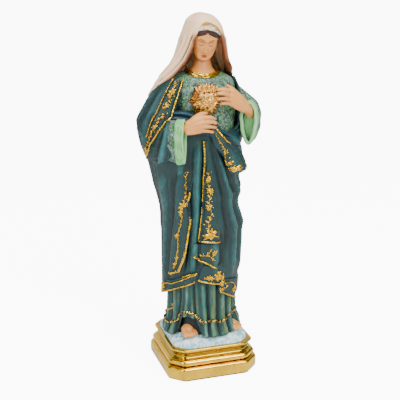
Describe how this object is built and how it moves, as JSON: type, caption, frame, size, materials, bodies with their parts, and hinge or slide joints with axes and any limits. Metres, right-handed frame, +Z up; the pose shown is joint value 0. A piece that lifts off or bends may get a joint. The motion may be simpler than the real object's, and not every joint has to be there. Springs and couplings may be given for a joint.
{
  "type": "devotional statue",
  "caption": "Standing veiled Madonna in painted and gilded plaster, one hand at her breast by a radiant heart, on a square gilded plinth with cut corners.",
  "frame": {"origin": "centre of the felt's underside, where the statue stands", "axes": "+Z up along the figure, -Y the way the figure faces, +X towards the figure's left hand"},
  "size_m": [0.1383, 0.1099, 0.4],
  "materials": {
    "felt": "pressed wool felt, dark green-black, matt",
    "gilt_plinth": "plaster with polished gilding, brighter on the slab, brown shadow in the groove",
    "cloud_paint": "plaster painted as cloud, white tops and sky-blue hollows",
    "iron": "plain black iron wire and rod",
    "zinc_steel": "zinc-plated steel",
    "brocade_green": "painted plaster, grey-green brocade with pale scrolls",
    "brushed_green": "painted plaster, teal hollows and olive-gold brushed ridges",
    "gilding": "liquid gold over raised plaster, with brown shading",
    "gilt_emblem": "liquid gold over modelled plaster",
    "rose_gilding": "copper-gold over modelled roses",
    "flesh_paint": "hand-painted flesh tone, satin",
    "beech_dowel": "turned beech",
    "hair_paint": "dark brown paint over combed plaster strands",
    "lace_paint": "white and silver lace with gilt dots",
    "veil_paint": "cream to peach satin paint, warmer in the folds",
    "teal_paint": "deep teal satin paint, lighter on the raised folds",
    "teal_trim": "teal satin paint that carries the gilt borders",
    "mint_paint": "mint green satin paint, darker inside the sleeves"
  },
  "bodies": {
    "root": {"felt_pad": "felt", "plinth": "gilt_plinth", "cloud_ground": "cloud_paint", "core_rod": "iron", "right_wrist_pin": "iron", "left_wrist_pin": "iron", "heart_peg": "iron", "rod_nut": "zinc_steel", "rod_washer": "zinc_steel", "tunic_bodice": "brocade_green", "tunic_skirt": "brushed_green", "hem_braid": "gilding", "collar_band": "gilding", "gilt_edges": "gilding", "gilt_sprays": "gilding", "heart_rays": "gilding", "heart": "gilt_emblem", "heart_flame": "gilt_emblem", "heart_roses": "rose_gilding", "head": "flesh_paint", "right_hand": "flesh_paint", "left_hand": "flesh_paint", "right_foot": "flesh_paint", "left_foot": "flesh_paint", "neck_dowel": "beech_dowel", "hair": "hair_paint", "lace_cap": "lace_paint", "veil": "veil_paint", "mantle": "teal_paint", "hem_fold_right": "teal_paint", "hem_fold_left": "teal_paint", "waist_fold": "teal_paint", "arm_drape": "teal_paint", "border_strip": "teal_trim", "centre_panel": "teal_trim", "turned_flap": "teal_trim", "right_sleeve": "brocade_green", "left_sleeve": "brocade_green", "right_cuff": "mint_paint", "left_cuff": "mint_paint"}
  },
  "joints": []
}
